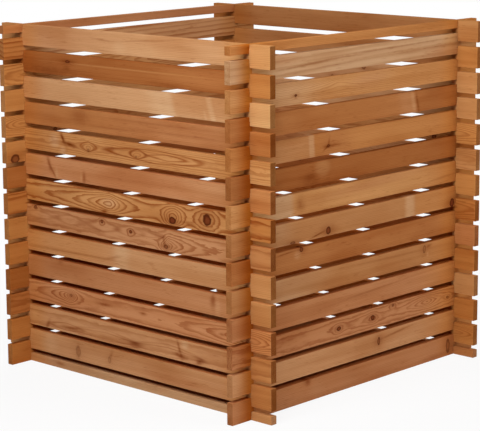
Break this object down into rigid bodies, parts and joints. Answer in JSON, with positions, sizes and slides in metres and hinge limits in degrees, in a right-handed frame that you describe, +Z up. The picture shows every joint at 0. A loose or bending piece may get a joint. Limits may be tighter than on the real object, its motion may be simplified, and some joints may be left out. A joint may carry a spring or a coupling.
{
  "type": "wooden compost bin",
  "caption": "Open square garden compost bin of softwood boards on edge, notched and plugged together at the corners like a log cabin, with air slots between the boards.",
  "frame": {"origin": "on the ground, in the middle of the bin", "axes": "+Z up, +X towards the right wall, the front wall faces -Y"},
  "size_m": [1.04, 1.04, 0.985],
  "materials": {
    "softwood": "planed bare softwood, orange-brown, matt, with straight and arched grain and knots"
  },
  "bodies": {
    "bottom_rails": {"front_bottom_rail": "softwood", "back_bottom_rail": "softwood"},
    "side_course_01": {"left_board_01": "softwood", "right_board_01": "softwood"},
    "cross_course_01": {"front_board_01": "softwood", "back_board_01": "softwood"},
    "side_course_02": {"left_board_02": "softwood", "right_board_02": "softwood"},
    "cross_course_02": {"front_board_02": "softwood", "back_board_02": "softwood"},
    "side_course_03": {"left_board_03": "softwood", "right_board_03": "softwood"},
    "cross_course_03": {"front_board_03": "softwood", "back_board_03": "softwood"},
    "side_course_04": {"left_board_04": "softwood", "right_board_04": "softwood"},
    "cross_course_04": {"front_board_04": "softwood", "back_board_04": "softwood"},
    "side_course_05": {"left_board_05": "softwood", "right_board_05": "softwood"},
    "cross_course_05": {"front_board_05": "softwood", "back_board_05": "softwood"},
    "side_course_06": {"left_board_06": "softwood", "right_board_06": "softwood"},
    "cross_course_06": {"front_board_06": "softwood", "back_board_06": "softwood"},
    "side_course_07": {"left_board_07": "softwood", "right_board_07": "softwood"},
    "cross_course_07": {"front_board_07": "softwood", "back_board_07": "softwood"},
    "side_course_08": {"left_board_08": "softwood", "right_board_08": "softwood"},
    "cross_course_08": {"front_board_08": "softwood", "back_board_08": "softwood"},
    "side_course_09": {"left_board_09": "softwood", "right_board_09": "softwood"},
    "cross_course_09": {"front_board_09": "softwood", "back_board_09": "softwood"},
    "side_course_10": {"left_board_10": "softwood", "right_board_10": "softwood"},
    "cross_course_10": {"front_board_10": "softwood", "back_board_10": "softwood"},
    "side_course_11": {"left_board_11": "softwood", "right_board_11": "softwood"},
    "cross_course_11": {"front_board_11": "softwood", "back_board_11": "softwood"},
    "side_course_12": {"left_board_12": "softwood", "right_board_12": "softwood"},
    "cross_course_12": {"front_board_12": "softwood", "back_board_12": "softwood"},
    "side_course_13": {"left_board_13": "softwood", "right_board_13": "softwood"},
    "cross_course_13": {"front_board_13": "softwood", "back_board_13": "softwood"},
    "left_top_rail": {"left_top_rail": "softwood"},
    "right_top_rail": {"right_top_rail": "softwood"}
  },
  "joints": [
    {"name": "side_course_01_lift", "type": "slide", "parent": "bottom_rails", "child": "side_course_01", "axis": [0, 0, 1], "range_m": [0, 0.03]},
    {"name": "cross_course_01_lift", "type": "slide", "parent": "side_course_01", "child": "cross_course_01", "axis": [0, 0, 1], "range_m": [0, 0.03]},
    {"name": "side_course_02_lift", "type": "slide", "parent": "cross_course_01", "child": "side_course_02", "axis": [0, 0, 1], "range_m": [0, 0.03]},
    {"name": "cross_course_02_lift", "type": "slide", "parent": "side_course_02", "child": "cross_course_02", "axis": [0, 0, 1], "range_m": [0, 0.03]},
    {"name": "side_course_03_lift", "type": "slide", "parent": "cross_course_02", "child": "side_course_03", "axis": [0, 0, 1], "range_m": [0, 0.03]},
    {"name": "cross_course_03_lift", "type": "slide", "parent": "side_course_03", "child": "cross_course_03", "axis": [0, 0, 1], "range_m": [0, 0.03]},
    {"name": "side_course_04_lift", "type": "slide", "parent": "cross_course_03", "child": "side_course_04", "axis": [0, 0, 1], "range_m": [0, 0.03]},
    {"name": "cross_course_04_lift", "type": "slide", "parent": "side_course_04", "child": "cross_course_04", "axis": [0, 0, 1], "range_m": [0, 0.03]},
    {"name": "side_course_05_lift", "type": "slide", "parent": "cross_course_04", "child": "side_course_05", "axis": [0, 0, 1], "range_m": [0, 0.03]},
    {"name": "cross_course_05_lift", "type": "slide", "parent": "side_course_05", "child": "cross_course_05", "axis": [0, 0, 1], "range_m": [0, 0.03]},
    {"name": "side_course_06_lift", "type": "slide", "parent": "cross_course_05", "child": "side_course_06", "axis": [0, 0, 1], "range_m": [0, 0.03]},
    {"name": "cross_course_06_lift", "type": "slide", "parent": "side_course_06", "child": "cross_course_06", "axis": [0, 0, 1], "range_m": [0, 0.03]},
    {"name": "side_course_07_lift", "type": "slide", "parent": "cross_course_06", "child": "side_course_07", "axis": [0, 0, 1], "range_m": [0, 0.03]},
    {"name": "cross_course_07_lift", "type": "slide", "parent": "side_course_07", "child": "cross_course_07", "axis": [0, 0, 1], "range_m": [0, 0.03]},
    {"name": "side_course_08_lift", "type": "slide", "parent": "cross_course_07", "child": "side_course_08", "axis": [0, 0, 1], "range_m": [0, 0.03]},
    {"name": "cross_course_08_lift", "type": "slide", "parent": "side_course_08", "child": "cross_course_08", "axis": [0, 0, 1], "range_m": [0, 0.03]},
    {"name": "side_course_09_lift", "type": "slide", "parent": "cross_course_08", "child": "side_course_09", "axis": [0, 0, 1], "range_m": [0, 0.03]},
    {"name": "cross_course_09_lift", "type": "slide", "parent": "side_course_09", "child": "cross_course_09", "axis": [0, 0, 1], "range_m": [0, 0.03]},
    {"name": "side_course_10_lift", "type": "slide", "parent": "cross_course_09", "child": "side_course_10", "axis": [0, 0, 1], "range_m": [0, 0.03]},
    {"name": "cross_course_10_lift", "type": "slide", "parent": "side_course_10", "child": "cross_course_10", "axis": [0, 0, 1], "range_m": [0, 0.03]},
    {"name": "side_course_11_lift", "type": "slide", "parent": "cross_course_10", "child": "side_course_11", "axis": [0, 0, 1], "range_m": [0, 0.03]},
    {"name": "cross_course_11_lift", "type": "slide", "parent": "side_course_11", "child": "cross_course_11", "axis": [0, 0, 1], "range_m": [0, 0.03]},
    {"name": "side_course_12_lift", "type": "slide", "parent": "cross_course_11", "child": "side_course_12", "axis": [0, 0, 1], "range_m": [0, 0.03]},
    {"name": "cross_course_12_lift", "type": "slide", "parent": "side_course_12", "child": "cross_course_12", "axis": [0, 0, 1], "range_m": [0, 0.03]},
    {"name": "side_course_13_lift", "type": "slide", "parent": "cross_course_12", "child": "side_course_13", "axis": [0, 0, 1], "range_m": [0, 0.03]},
    {"name": "cross_course_13_lift", "type": "slide", "parent": "side_course_13", "child": "cross_course_13", "axis": [0, 0, 1], "range_m": [0, 0.03]},
    {"name": "left_top_rail_lift", "type": "slide", "parent": "cross_course_13", "child": "left_top_rail", "axis": [0, 0, 1], "range_m": [0, 0.12]},
    {"name": "right_top_rail_lift", "type": "slide", "parent": "cross_course_13", "child": "right_top_rail", "axis": [0, 0, 1], "range_m": [0, 0.12]}
  ]
}
